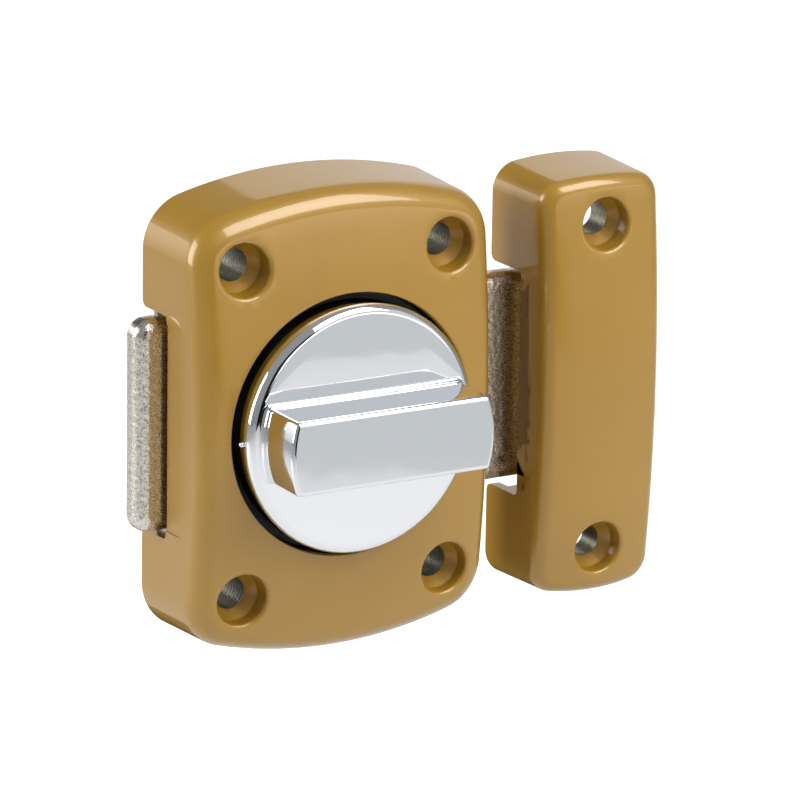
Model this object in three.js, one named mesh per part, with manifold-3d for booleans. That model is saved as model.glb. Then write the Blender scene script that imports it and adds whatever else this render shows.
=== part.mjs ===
// Toggle bolt latch: a rim-mounted bolt in a crowned cast case, thrown by a quarter-turn
// knob with a grip bar, and the hollow strike that takes the bolt on the frame side.
// Millimetres, +Z up. The door plane is y = 0, the front faces -Y, the strike is towards +X.
// Depths are measured from the door plane towards the front, so a depth d lies at y = -d.

import * as THREE from 'three';
import { mergeVertices } from 'three/addons/utils/BufferGeometryUtils.js';
import Module from 'manifold-3d';

const wasm = await Module();
wasm.setup();

// ---- Driving dimensions ------------------------------------------------------------------

// Case casting
const caseWidth = 67.4;
const caseHeight = 94.7;
const caseDepth = 24.5;
const caseEndRadius = 99;
const caseCornerRadius = 10.6;
const caseEdgeRadius = 4.4;
const caseCrown = { across: 290, along: 262 };
const castWall = 2.2;
const draft = 0.027;

// Strike casting
const strikeWidth = 28.6;
const strikeHeight = 87.6;
const strikeDepth = 22.3;
const strikeEndRadius = 68;
const strikeCornerRadius = 5.8;
const strikeEdgeRadius = 2.6;
const strikeCrown = { across: 52, along: 335 };
const doorGap = 11.3;
const strikeDrop = 0.8;

// Openings in the castings' side walls
const notchSideGap = 1;
const notchFrontGap = 1.3;
const mouthFrontGap = 3;
const mouthReach = 1.5;
const sidePanel = { sunk: 0.5, margin: 3 };

// Screw holes
const screwHoleRadius = 3.3;
const counterboreRadius = 5.4;
const counterboreDepth = 4.2;
const seatDepth = 1.6;
const bossRadius = 6.9;
const caseHoleSpacing = { across: 45.4, along: 66 };
const strikeHoleSpacing = 67;
const strikeBossRear = 9;

// Knob
const knobRadius = 25;
const knobGap = 1.35;
const knobProud = 3.4;
const knobEdgeRadius = 1.2;
const knobSkirtWall = 2.6;
const knobFaceThickness = 3;
const knobFaceRise = 0.5;
const skirtLift = 1.5;
const hubLift = 0.8;
const hubRadius = 9.4;
const pocketDepth = 7;
const pocketFloor = 2.5;
const barLength = 45;
const barHeight = 14.8;
const barStand = 12.5;
const barEdgeRadius = 0.9;
const barRoot = 1.5;

// Bolt and its drive
const boltHeight = 43;
const boltThickness = 5;
const boltBack = 3;
const boltTail = 5.3;
const boltCornerRadius = 3.5;
const boltEdgeRadius = 0.8;
const boltRun = 0.5;
const quarterTurn = Math.PI / 2;
const gearModule = 1.25;
const pinionTeeth = 20;
const pressureAngle = THREE.MathUtils.degToRad(20);
const backlash = 0.16;
const toothRoot = 1.25;
const noseClearance = 0.3;
const slideGap = 0.25;
const windowGap = 1;
const rackLead = 7;

// Spindle and what sits on it
const spindleRadius = 5;
const squareSide = 7;
const runClearance = 0.1;
const seatGap = 0.05;
const bushRadius = 7;
const flangeRadius = 9;
const flangeThickness = 0.95;
const washerThickness = 0.6;
const clipThickness = 0.6;
const grooveDepth = 0.6;
const clipWidth = 2.2;
const clipOpening = 0.42;
const clipLand = 0.5;
const endGap = 0.3;
const sleeveRadius = 7.2;

// Back plate, guide pins and glides
const plateThickness = 1.5;
const plateClearance = 0.3;
const plateHoleRadius = screwHoleRadius + plateClearance;
const plateScrew = { radius: 1.45, head: 2.9, length: 8, tip: 0.5, across: 21, fromEnd: 9.35 };
const crossRecess = { arm: 1.5, half: 0.32, depth: 0.9 };
const postRadius = 3.4;
const pinRadius = 1.5;
const pinPlace = -12;
const pinPostWall = 1.5;
const pinFrontGap = 1.2;
const glideThickness = 2.2;
const glideDepth = 7;
const glideEndGap = 1;
const ribThickness = 2;
const ribGap = 0.15;
const webGap = 1.6;

// Roundness of the facets
const fine = 48;
const round = 28;
const small = 16;
const outerRings = { face: 4, edge: 4 };
const innerRings = { face: 2, edge: 2 };

// ---- Values worked out from them ---------------------------------------------------------

const pitchRadius = gearModule * pinionTeeth / 2;
const toothPitch = Math.PI * gearModule;
const boltTravel = pitchRadius * quarterTurn;
const boltFront = boltBack + boltThickness;
const boltTailX = -caseWidth / 2 - boltTail;
const boltNoseX = caseWidth / 2 + boltTravel - noseClearance;
const strikeX = caseWidth / 2 + doorGap + strikeWidth / 2;
const pocketRadius = knobRadius + knobGap;
const pocketFront = caseDepth - pocketDepth;
const pocketRear = pocketFront - pocketFloor;
const knobRim = caseDepth + knobProud;
const knobBase = pocketFront + skirtLift;
const hubBase = pocketFront + hubLift;
const washerFront = pocketRear - flangeThickness - 2 * seatGap;
const clipFront = washerFront - washerThickness - seatGap;
const clipRear = clipFront - clipThickness;
const roundEnd = clipRear - clipLand;
const pinionFront = boltFront - seatGap;
const pinionBack = boltBack + seatGap;
const pinOffset = (pitchRadius + toothRoot * gearModule + boltHeight / 2) / 2;
const plateScrewZ = caseHeight / 2 - plateScrew.fromEnd;
const channelHalf = boltHeight / 2 + slideGap;
const notchHalf = boltHeight / 2 + notchSideGap;
const mouthHalf = notchHalf + strikeDrop;
const pinPostRadius = pinRadius + pinPostWall;
const glideOuter = channelHalf + glideThickness;
const glideEnd = caseWidth / 2 - castWall - glideEndGap;
const glideRear = plateThickness + runClearance;

// ---- Materials ---------------------------------------------------------------------------

const finish = (colour, roughness, metalness) =>
  new THREE.MeshStandardMaterial({ color: colour, roughness, metalness });
const bronzeCoat = () => finish(0xb08a4a, 0.28, 0.55);
const chrome = () => finish(0xd4d7da, 0.06, 1);
const nickel = () => finish(0xa9a8a2, 0.38, 1);
const zincSteel = () => finish(0x9a9da0, 0.42, 0.9);
const brass = () => finish(0xc2a04e, 0.3, 0.95);
const springSteel = () => finish(0x5d6064, 0.35, 0.9);
const blackNylon = () => finish(0x1b1b1c, 0.55, 0);
const whiteNylon = () => finish(0xe4e2da, 0.5, 0);

// ---- Solids ------------------------------------------------------------------------------

// A closed three.js geometry as a solid that can be cut and joined.
function solid(geometry) {
  geometry.deleteAttribute('normal');
  geometry.deleteAttribute('uv');
  const merged = mergeVertices(geometry, 1e-4);
  const index = merged.index.array;
  const triangles = [];
  for (let i = 0; i < index.length; i += 3) {
    const [a, b, c] = [index[i], index[i + 1], index[i + 2]];
    if (a !== b && b !== c && c !== a) triangles.push(a, b, c);
  }
  const data = {
    numProp: 3,
    vertProperties: new Float32Array(merged.attributes.position.array),
    triVerts: new Uint32Array(triangles),
  };
  return new wasm.Manifold(new wasm.Mesh(data));
}

// A cut or joined solid back as a geometry with flat facets.
function geometryOf(body) {
  const mesh = body.getMesh();
  const geometry = new THREE.BufferGeometry();
  geometry.setAttribute('position', new THREE.BufferAttribute(mesh.vertProperties, 3));
  geometry.setIndex(new THREE.BufferAttribute(mesh.triVerts, 1));
  return geometry;
}

// A round bar along the depth, between two depths.
function rod(radius, from, to, x = 0, z = 0, segments = round) {
  const geometry = new THREE.CylinderGeometry(radius, radius, to - from, segments);
  return solid(geometry.translate(x, -(from + to) / 2, z));
}

// A taper along the depth: rearRadius at depth from, frontRadius at depth to.
function taper(rearRadius, frontRadius, from, to, x = 0, z = 0, segments = round) {
  const geometry = new THREE.CylinderGeometry(rearRadius, frontRadius, to - from, segments);
  return solid(geometry.translate(x, -(from + to) / 2, z));
}

// A ring along the depth.
function ring(inner, outer, from, to, segments = round) {
  return rod(outer, from, to, 0, 0, segments).subtract(rod(inner, from - 1, to + 1, 0, 0, segments));
}

// A square-edged block given by its limits.
function block(x0, x1, from, to, z0, z1) {
  const geometry = new THREE.BoxGeometry(x1 - x0, to - from, z1 - z0);
  return solid(geometry.translate((x0 + x1) / 2, -(from + to) / 2, (z0 + z1) / 2));
}

// A flat outline, drawn in x and z, extruded between two depths with softened edges.
function slab(shape, from, to, edge = 0) {
  const geometry = new THREE.ExtrudeGeometry(shape, {
    depth: to - from - 2 * edge,
    bevelEnabled: edge > 0,
    bevelThickness: edge,
    bevelSize: edge,
    bevelOffset: -edge,
    bevelSegments: 3,
    curveSegments: 10,
  });
  return solid(geometry.translate(0, 0, from + edge).rotateX(Math.PI / 2));
}

// A rectangle with round corners, as a shape or as a hole.
function roundedRectangle(x0, x1, z0, z1, r, path = new THREE.Shape()) {
  path.moveTo(x0 + r, z0);
  path.lineTo(x1 - r, z0);
  path.absarc(x1 - r, z0 + r, r, -Math.PI / 2, 0);
  path.lineTo(x1, z1 - r);
  path.absarc(x1 - r, z1 - r, r, 0, Math.PI / 2);
  path.lineTo(x0 + r, z1);
  path.absarc(x0 + r, z1 - r, r, Math.PI / 2, Math.PI);
  path.lineTo(x0, z0 + r);
  path.absarc(x0 + r, z0 + r, r, Math.PI, 1.5 * Math.PI);
  return path;
}

// The outline of a casting: straight sides, bowed ends and round corners. Each point
// carries its outward normal, so the outline can be taken in by any distance.
function castingOutline(width, height, endRadius, cornerRadius) {
  const endCentre = height / 2 - endRadius;
  const cornerX = width / 2 - cornerRadius;
  const cornerZ = endCentre + Math.sqrt((endRadius - cornerRadius) ** 2 - cornerX ** 2);
  const meet = Math.atan2(cornerZ - endCentre, cornerX);
  const quarter = [];
  const along = (cx, cz, r, start, stop, steps) => {
    for (let i = 0; i < steps; i += 1) {
      const a = start + (stop - start) * i / steps;
      quarter.push({ x: cx + r * Math.cos(a), z: cz + r * Math.sin(a), nx: Math.cos(a), nz: Math.sin(a) });
    }
  };
  along(0, endCentre, endRadius, Math.PI / 2, meet, 4);
  along(cornerX, cornerZ, cornerRadius, meet, 0, 5);
  for (let i = 0; i < 3; i += 1) {
    quarter.push({ x: width / 2, z: cornerZ * (1 - i / 3), nx: 1, nz: 0 });
  }
  const mirrored = (sx, sz, back) => {
    const points = quarter.map((p) => ({ x: sx * p.x, z: sz * p.z, nx: sx * p.nx, nz: sz * p.nz }));
    return back ? points.reverse() : points;
  };
  const side = { x: width / 2, z: 0, nx: 1, nz: 0 };
  const right = [...quarter, side, ...mirrored(1, -1, true)];
  const leftSide = { ...side, x: -width / 2, nx: -1 };
  const left = [...mirrored(-1, -1, false).slice(1), leftSide, ...mirrored(-1, 1, true)];
  return [...right, ...left.slice(0, -1)];
}

// A crowned, drafted body on an outline. A lathe gives the closed net of rings, and each
// ring is then laid on the outline at its inset and depth.
function crownedBody(outline, depth, crown, edge, inset, base, ringCount) {
  const rings = [];
  const front = (x, z) => depth - x * x / (2 * crown.across) - z * z / (2 * crown.along);
  for (let i = 0; i < ringCount.face; i += 1) {
    rings.push({ share: i / ringCount.face, edgeInset: edge, drop: 0 });
  }
  for (let i = 0; i <= ringCount.edge; i += 1) {
    const a = quarterTurn * i / ringCount.edge;
    rings.push({ share: 1, edgeInset: edge * (1 - Math.sin(a)), drop: edge * (1 - Math.cos(a)) });
  }
  rings.push({ share: 1, edgeInset: 0, base: true });
  rings.push({ share: 0, edgeInset: 0, base: true });
  const profile = rings.map((r, i) => new THREE.Vector2(i + 1, -i));
  const geometry = new THREE.LatheGeometry(profile, outline.length);
  const position = geometry.attributes.position;
  for (let i = 0; i <= outline.length; i += 1) {
    const p = outline[i % outline.length];
    rings.forEach((r, j) => {
      const level = r.base ? base : depth;
      const pull = inset + r.edgeInset + draft * level;
      const x = r.share * (p.x - p.nx * pull);
      const z = r.share * (p.z - p.nz * pull);
      const d = r.base ? base : front(x, z) - r.drop;
      position.setXYZ(i * rings.length + j, x, -d, z);
    });
  }
  return solid(geometry);
}

// The four sign pairs of a rectangular pattern.
const corners = [[-1, 1], [1, 1], [-1, -1], [1, -1]];

function union(bodies) {
  return bodies.reduce((sum, body) => sum.add(body));
}

// ---- Castings ----------------------------------------------------------------------------

// A screw hole: counterbore, conical seat and plain hole, open at both ends.
function screwHole(x, z, faceDepth) {
  const seatTop = faceDepth - counterboreDepth;
  return union([
    rod(screwHoleRadius, -1, faceDepth + 5, x, z, small),
    taper(screwHoleRadius, counterboreRadius, seatTop - seatDepth, seatTop + 0.01, x, z, round),
    rod(counterboreRadius, seatTop, faceDepth + 5, x, z, round),
  ]);
}

const crownDepth = (depth, crown, x, z) => depth - x * x / (2 * crown.across) - z * z / (2 * crown.along);

function caseShell() {
  const outline = castingOutline(caseWidth, caseHeight, caseEndRadius, caseCornerRadius);
  const outer = crownedBody(outline, caseDepth, caseCrown, caseEdgeRadius, 0, 0, outerRings);
  const innerEdge = caseEdgeRadius - castWall;
  const cavity = crownedBody(outline, caseDepth - castWall, caseCrown, innerEdge, castWall, -1, innerRings);
  const holes = corners.map(([sx, sz]) => [sx * caseHoleSpacing.across / 2, sz * caseHoleSpacing.along / 2]);
  const posts = corners.map(([sx, sz]) => [sx * plateScrew.across / 2, sz * plateScrewZ]);
  const seat = plateThickness + seatGap;
  const postTop = pocketRear + 0.5;
  const pinPosts = [-1, 1].map((s) => rod(pinPostRadius, boltFront + boltRun, postTop, pinPlace, s * pinOffset, small));
  const ribInner = glideOuter + ribGap;
  const inside = [
    rod(pocketRadius + castWall, pocketRear, caseDepth, 0, 0, fine),
    ...holes.map(([x, z]) => rod(bossRadius, seat, caseDepth, x, z, round)),
    ...posts.map(([x, z]) => rod(postRadius, seat, caseDepth, x, z, small)),
    ...pinPosts,
    ...[-1, 1].map((s) => {
      const z = [s * ribInner, s * (ribInner + ribThickness)].sort((a, b) => a - b);
      return block(-caseWidth / 2 + 1, caseWidth / 2 - 1, seat, caseDepth, z[0], z[1]);
    }),
  ];
  let body = outer.subtract(cavity).add(union(inside).intersect(outer));
  const notch = block(-caseWidth, caseWidth, -1, boltFront + notchFrontGap, -notchHalf, notchHalf);
  const panels = [-1, 1].map((s) => {
    const wallX = caseWidth / 2 - draft * caseDepth / 2 - sidePanel.sunk;
    const x = [s * wallX, s * (wallX + 5)].sort((a, b) => a - b);
    return block(x[0], x[1], -1, caseDepth - caseEdgeRadius - sidePanel.margin, -notchHalf, notchHalf);
  });
  body = body.subtract(union([
    notch.intersect(block(-caseWidth, caseWidth, -2, pocketRear - 1, -notchHalf, notchHalf)),
    ...panels,
    block(
      -glideEnd - runClearance,
      glideEnd + runClearance,
      0,
      glideRear + glideDepth + runClearance,
      -glideOuter - runClearance,
      glideOuter + runClearance,
    ),
    rod(pocketRadius, pocketFront, caseDepth + 5, 0, 0, fine),
    rod(bushRadius + seatGap, pocketRear - 1, pocketFront + 1, 0, 0, round),
    ...holes.map(([x, z]) => screwHole(x, z, crownDepth(caseDepth, caseCrown, x, z))),
    ...posts.map(([x, z]) => rod(plateScrew.radius + runClearance, 0, plateScrew.length + 1, x, z, small)),
    ...[-1, 1].map((s) => rod(pinRadius + seatGap, 0, pocketRear - 1, pinPlace, s * pinOffset, small)),
  ]));
  return body;
}

function strikeBody() {
  const outline = castingOutline(strikeWidth, strikeHeight, strikeEndRadius, strikeCornerRadius);
  const outer = crownedBody(outline, strikeDepth, strikeCrown, strikeEdgeRadius, 0, 0, outerRings);
  const innerEdge = strikeEdgeRadius - castWall;
  const cavity = crownedBody(outline, strikeDepth - castWall, strikeCrown, innerEdge, castWall, -1, innerRings);
  const holes = [-1, 1].map((s) => [0, s * strikeHoleSpacing / 2]);
  const bosses = holes.map(([x, z]) => rod(bossRadius, strikeBossRear, strikeDepth, x, z, round));
  const webs = [-1, 1].map((s) => {
    const z = [s * (mouthHalf + webGap), s * (mouthHalf + webGap + ribThickness)].sort((a, b) => a - b);
    return block(-strikeWidth / 2 + 1, strikeWidth / 2 - 1, 0, strikeDepth, z[0], z[1]);
  });
  const mouthEnd = -strikeWidth / 2 + castWall + mouthReach;
  const mouth = block(-strikeWidth, mouthEnd, -1, boltFront + mouthFrontGap, -mouthHalf, mouthHalf);
  return outer
    .subtract(cavity)
    .add(union([...bosses, ...webs]).intersect(outer))
    .subtract(mouth)
    .subtract(union(holes.map(([x, z]) => screwHole(x, z, crownDepth(strikeDepth, strikeCrown, x, z)))));
}

// ---- Knob and spindle --------------------------------------------------------------------

// The disc with its skirt and hub, turned as one profile, and the grip bar across it.
function turnKnob() {
  const inner = knobRadius - knobSkirtWall;
  const faceUnder = knobRim - knobFaceThickness;
  const profile = [0, 0.5].map((share) => [knobRadius * share, knobRim + knobFaceRise * (1 - share * share)]);
  for (let i = 0; i <= 5; i += 1) {
    const a = quarterTurn * i / 5;
    const r = knobRadius - knobEdgeRadius * (1 - Math.sin(a));
    profile.push([r, knobRim - knobEdgeRadius * (1 - Math.cos(a))]);
  }
  profile.push([knobRadius, knobBase], [inner, knobBase], [inner, faceUnder]);
  profile.push([hubRadius, faceUnder], [hubRadius, hubBase], [0, hubBase]);
  const disc = new THREE.LatheGeometry(profile.map(([r, d]) => new THREE.Vector2(r, -d)), fine);
  const reach = Math.asin(barHeight / barLength);
  const grip = new THREE.Shape();
  grip.absarc(0, 0, barLength / 2, -reach, reach);
  grip.absarc(0, 0, barLength / 2, Math.PI - reach, Math.PI + reach);
  grip.closePath();
  const half = squareSide / 2 + runClearance;
  const socket = block(-half, half, hubBase - 1, faceUnder, -half, half);
  return solid(disc)
    .add(slab(grip, knobRim - barRoot, knobRim + barStand, barEdgeRadius))
    .subtract(socket);
}

function spindle() {
  const half = squareSide / 2;
  const body = union([
    rod(spindleRadius, roundEnd, hubBase - endGap),
    block(-half, half, pinionBack + endGap, knobRim - knobFaceThickness - endGap, -half, half),
  ]);
  const groove = ring(spindleRadius - grooveDepth, spindleRadius + 1, clipRear - seatGap, clipFront + seatGap);
  return body.subtract(groove);
}

// A retaining clip: a flat ring with a gap.
function circlip() {
  const start = clipOpening;
  const stop = 2 * Math.PI - clipOpening;
  const shape = new THREE.Shape();
  shape.absarc(0, 0, spindleRadius + clipWidth, start, stop);
  shape.absarc(0, 0, spindleRadius - grooveDepth + seatGap, stop, start, true);
  shape.closePath();
  return slab(shape, clipRear, clipFront);
}

function bearingBush() {
  const flange = rod(flangeRadius, pocketRear - flangeThickness - seatGap, pocketRear - seatGap);
  const tube = rod(bushRadius, pocketRear - flangeThickness, pocketFront - seatGap);
  return flange.add(tube).subtract(rod(spindleRadius + runClearance, 0, caseDepth));
}

// ---- Bolt and pinion ---------------------------------------------------------------------

// The pinion's outline, with involute flanks and a tooth centred on +Z.
function pinionShape() {
  const baseRadius = pitchRadius * Math.cos(pressureAngle);
  const tipRadius = pitchRadius + gearModule;
  const rootRadius = pitchRadius - toothRoot * gearModule;
  const involute = (a) => Math.tan(a) - a;
  const halfAtPitch = (toothPitch / 2 - backlash) / (2 * pitchRadius);
  const halfAt = (r) => {
    const a = r > baseRadius ? Math.acos(baseRadius / r) : 0;
    return halfAtPitch + involute(pressureAngle) - involute(a);
  };
  const flank = [rootRadius, baseRadius];
  for (let i = 1; i <= 4; i += 1) flank.push(baseRadius + (tipRadius - baseRadius) * i / 4);
  const points = [];
  for (let tooth = 0; tooth < pinionTeeth; tooth += 1) {
    const centre = Math.PI / 2 + 2 * Math.PI * tooth / pinionTeeth;
    for (const r of flank) points.push([r, centre - halfAt(r)]);
    for (const r of [...flank].reverse()) points.push([r, centre + halfAt(r)]);
  }
  return new THREE.Shape(points.map(([r, a]) => new THREE.Vector2(r * Math.cos(a), r * Math.sin(a))));
}

function pinion() {
  const half = squareSide / 2 + runClearance;
  return slab(pinionShape(), pinionBack, pinionFront).subtract(block(-half, half, 0, caseDepth, -half, half));
}

// The bolt's window: plain below, and a rack along its top edge that the pinion drives.
function rackWindow() {
  const reach = pitchRadius + gearModule + windowGap;
  const left = -reach;
  const right = boltTravel + reach;
  const tipZ = pitchRadius - gearModule;
  const rootZ = pitchRadius + toothRoot * gearModule;
  const slope = Math.tan(pressureAngle);
  const halfTooth = toothPitch / 4 - backlash / 2;
  const path = new THREE.Path();
  path.moveTo(left, -reach);
  path.lineTo(right, -reach);
  path.lineTo(right, rootZ);
  const first = Math.ceil(-rackLead / toothPitch - 0.5);
  const last = Math.floor((boltTravel + rackLead) / toothPitch - 0.5);
  for (let k = last; k >= first; k -= 1) {
    const centre = (k + 0.5) * toothPitch;
    const atRoot = halfTooth + (rootZ - pitchRadius) * slope;
    const atTip = halfTooth - (pitchRadius - tipZ) * slope;
    path.lineTo(centre + atRoot, rootZ);
    path.lineTo(centre + atTip, tipZ);
    path.lineTo(centre - atTip, tipZ);
    path.lineTo(centre - atRoot, rootZ);
  }
  path.lineTo(left, rootZ);
  path.closePath();
  return path;
}

function bolt() {
  const half = boltHeight / 2;
  const plate = roundedRectangle(boltTailX, boltNoseX, -half, half, boltCornerRadius);
  const slotHalf = pinRadius + slideGap;
  const window = slab(new THREE.Shape(rackWindow().getPoints()), boltBack - 1, boltFront + 1);
  const slots = [-1, 1].map((s) => {
    const z = s * pinOffset;
    const start = pinPlace - slotHalf;
    const stop = pinPlace + boltTravel + slotHalf;
    const shape = roundedRectangle(start, stop, z - slotHalf, z + slotHalf, slotHalf - 0.01);
    return slab(shape, boltBack - 1, boltFront + 1);
  });
  return slab(plate, boltBack, boltFront, boltEdgeRadius).subtract(union([window, ...slots]));
}

// ---- Back plate and what it holds --------------------------------------------------------

function backPlate() {
  const outline = castingOutline(caseWidth, caseHeight, caseEndRadius, caseCornerRadius);
  const inset = castWall + plateClearance;
  const edge = outline.map((p) => new THREE.Vector2(p.x - p.nx * inset, p.z - p.nz * inset));
  const holes = corners.flatMap(([sx, sz]) => [
    rod(plateHoleRadius, -1, 5, sx * caseHoleSpacing.across / 2, sz * caseHoleSpacing.along / 2, small),
    taper(
      plateScrew.head + runClearance + 0.02,
      plateScrew.radius + runClearance,
      -0.02,
      plateThickness + 0.02,
      sx * plateScrew.across / 2,
      sz * plateScrewZ,
      small,
    ),
  ]);
  return slab(new THREE.Shape(edge.reverse()), 0, plateThickness).subtract(union(holes));
}

// A countersunk self-tapping screw with a cross recess, driven in from the back.
function plateScrewBody(x, z) {
  const head = taper(plateScrew.head, plateScrew.radius, seatGap, plateThickness, x, z, small);
  const shank = rod(plateScrew.radius, plateThickness - 0.1, plateScrew.length - 1, x, z, small);
  const { radius, tip, length } = plateScrew;
  const point = taper(radius, tip, length - 1.01, length, x, z, small);
  const { arm, half, depth } = crossRecess;
  return union([head, shank, point]).subtract(union([
    block(x - arm, x + arm, 0, depth, z - half, z + half),
    block(x - half, x + half, 0, depth, z - arm, z + arm),
  ]));
}

function railGlide(side) {
  const z = [side * channelHalf, side * glideOuter].sort((a, b) => a - b);
  return block(-glideEnd, glideEnd, glideRear, glideRear + glideDepth, z[0], z[1]);
}

// ---- Scene -------------------------------------------------------------------------------

function piece(name, body, material) {
  const mesh = new THREE.Mesh(geometryOf(body), material);
  mesh.name = name;
  return mesh;
}

const latch = new THREE.Group();

// Door side: everything on the case.
const doorSide = new THREE.Group();
doorSide.add(
  piece('case_shell', caseShell(), bronzeCoat()),
  piece('back_plate', backPlate(), zincSteel()),
  piece('bearing_bush', bearingBush(), brass()),
  piece(
    'wave_washer',
    ring(spindleRadius + endGap, hubRadius - endGap, pocketFront + runClearance, hubBase - runClearance),
    springSteel(),
  ),
  piece(
    'knob_glide_ring',
    ring(knobRadius - knobSkirtWall - 1, pocketRadius - endGap, pocketFront + seatGap, knobBase - endGap, fine),
    blackNylon(),
  ),
  piece('pinion_pad', rod(pitchRadius - 2, plateThickness + seatGap, boltBack - seatGap), whiteNylon()),
);
for (const [name, side] of [['upper', 1], ['lower', -1]]) {
  const pinFront = pocketRear - pinFrontGap;
  const pin = rod(pinRadius, plateThickness + seatGap, pinFront, pinPlace, side * pinOffset, small);
  doorSide.add(piece(`guide_pin_${name}`, pin, zincSteel()));
  doorSide.add(piece(`rail_glide_${name}`, railGlide(side), whiteNylon()));
}
corners.forEach(([sx, sz], i) => {
  const screw = plateScrewBody(sx * plateScrew.across / 2, sz * plateScrewZ);
  doorSide.add(piece(`plate_screw_${i + 1}`, screw, zincSteel()));
});
latch.add(doorSide);

// Turning group: the knob and all that turns with it.
const turning = new THREE.Group();
turning.add(
  piece('turn_knob', turnKnob(), chrome()),
  piece('spindle', spindle(), zincSteel()),
  piece(
    'thrust_washer',
    ring(spindleRadius + runClearance, flangeRadius - 0.5, washerFront - washerThickness, washerFront),
    brass(),
  ),
  piece('circlip', circlip(), springSteel()),
  piece(
    'spacer_sleeve',
    ring(spindleRadius + seatGap, sleeveRadius, pinionFront + runClearance, roundEnd - runClearance),
    zincSteel(),
  ),
  piece('pinion', pinion(), springSteel()),
);
latch.add(turning);

latch.add(piece('bolt', bolt(), nickel()));

const strike = piece('strike_body', strikeBody(), bronzeCoat());
strike.position.set(strikeX, 0, -strikeDrop);
latch.add(strike);

export default latch;
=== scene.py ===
import math

import bmesh
import bpy
from mathutils import Matrix, Vector, noise


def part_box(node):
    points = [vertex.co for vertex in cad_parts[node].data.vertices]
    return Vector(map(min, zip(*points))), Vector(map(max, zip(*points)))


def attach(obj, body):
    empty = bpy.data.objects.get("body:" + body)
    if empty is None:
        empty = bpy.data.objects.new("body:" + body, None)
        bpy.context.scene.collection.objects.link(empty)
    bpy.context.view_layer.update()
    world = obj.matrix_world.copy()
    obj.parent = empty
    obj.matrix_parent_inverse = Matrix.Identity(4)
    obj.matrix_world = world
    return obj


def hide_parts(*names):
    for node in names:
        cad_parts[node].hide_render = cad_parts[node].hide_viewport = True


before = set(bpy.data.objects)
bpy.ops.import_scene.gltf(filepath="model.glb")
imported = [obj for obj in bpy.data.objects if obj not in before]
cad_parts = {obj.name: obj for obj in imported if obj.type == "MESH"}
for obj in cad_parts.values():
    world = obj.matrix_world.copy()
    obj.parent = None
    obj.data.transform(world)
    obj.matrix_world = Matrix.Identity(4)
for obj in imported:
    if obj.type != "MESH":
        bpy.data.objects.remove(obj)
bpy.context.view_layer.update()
MM = 0.001


# ---- Camera -------------------------------------------------------------------------------
# A long lens from the front, a little to the left of the latch and above it, so that the
# case's left wall and the tops of both castings show.
AIM = Vector((0.01047, -0.02487, 0.00505))
YAW, PITCH, ROLL = (math.radians(a) for a in (30.39, 15.98, 0.94))
DISTANCE = 1.083

sight = Vector((math.sin(YAW) * math.cos(PITCH), math.cos(YAW) * math.cos(PITCH), -math.sin(PITCH)))
level = Vector((math.cos(YAW), -math.sin(YAW), 0))
rise = level.cross(sight)
across = level * math.cos(ROLL) + rise * math.sin(ROLL)
upright = rise * math.cos(ROLL) - level * math.sin(ROLL)
camera = bpy.data.objects.new("camera", bpy.data.cameras.new("camera"))
camera.matrix_world = Matrix((across, upright, -sight)).transposed().to_4x4()
camera.location = AIM - sight * DISTANCE
camera.data.sensor_width = 36
camera.data.lens = 250.6
camera.data.shift_x = -0.0038
camera.data.shift_y = -0.0062
camera.data.clip_end = 50
bpy.context.scene.collection.objects.link(camera)
bpy.context.scene.camera = camera


# ---- Studio -------------------------------------------------------------------------------
# A white table top well below the latch in a pale room, lit by two large soft lights, with a
# painted pool of light glowing on the table behind the latch. Cards stand out of view for the
# gloss to mirror: a bright one behind on the left, a glow in front, pale walls, and dark flags,
# of which a small one behind the gap shades the strike's wall.
def colour(hex_value):
    """A colour given as sRGB hex, turned to linear red, green, blue and alpha."""
    parts = [int(hex_value[i:i + 2], 16) / 255 for i in (1, 3, 5)]
    linear = [c / 12.92 if c <= 0.04045 else ((c + 0.055) / 1.055) ** 2.4 for c in parts]
    return (*linear, 1)


def add(tree, kind, inputs=(), **settings):
    """Adds a node with its settings; an input is a value or another node's output."""
    item = tree.nodes.new(kind)
    for key, value in settings.items():
        setattr(item, key, value)
    for key, value in dict(inputs).items():
        if isinstance(value, bpy.types.NodeSocket):
            tree.links.new(value, item.inputs[key])
        else:
            item.inputs[key].default_value = value
    return item


FLOOR_DROP = 0.32
FLOOR_FRONT = 1.40
TABLE_TURN = math.radians(30.4)

room = bpy.data.worlds.new("room")
room.use_nodes = True
room.node_tree.nodes.clear()
toward = add(room.node_tree, "ShaderNodeTexCoord")
parted = add(room.node_tree, "ShaderNodeSeparateXYZ", {0: toward.outputs["Generated"]})
height = add(room.node_tree, "ShaderNodeMapRange", {0: parted.outputs["Z"], 1: -1.0, 2: 1.0})
shades = add(room.node_tree, "ShaderNodeValToRGB", {0: height.outputs[0]})
shades.color_ramp.elements[0].position = 0.40
shades.color_ramp.elements[0].color = colour("#d6d8d9")
shades.color_ramp.elements[1].position = 0.62
shades.color_ramp.elements[1].color = colour("#eeeeee")
path = add(room.node_tree, "ShaderNodeLightPath")
seen = add(room.node_tree, "ShaderNodeMapRange", {0: path.outputs["Is Camera Ray"], 3: 0.36, 4: 1.0})
backing = add(
    room.node_tree, "ShaderNodeBackground", {"Color": shades.outputs["Color"], "Strength": seen.outputs[0]}
)
add(room.node_tree, "ShaderNodeOutputWorld", {"Surface": backing.outputs[0]})
bpy.context.scene.world = room
bpy.context.scene.view_settings.view_transform = "Standard"


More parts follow.
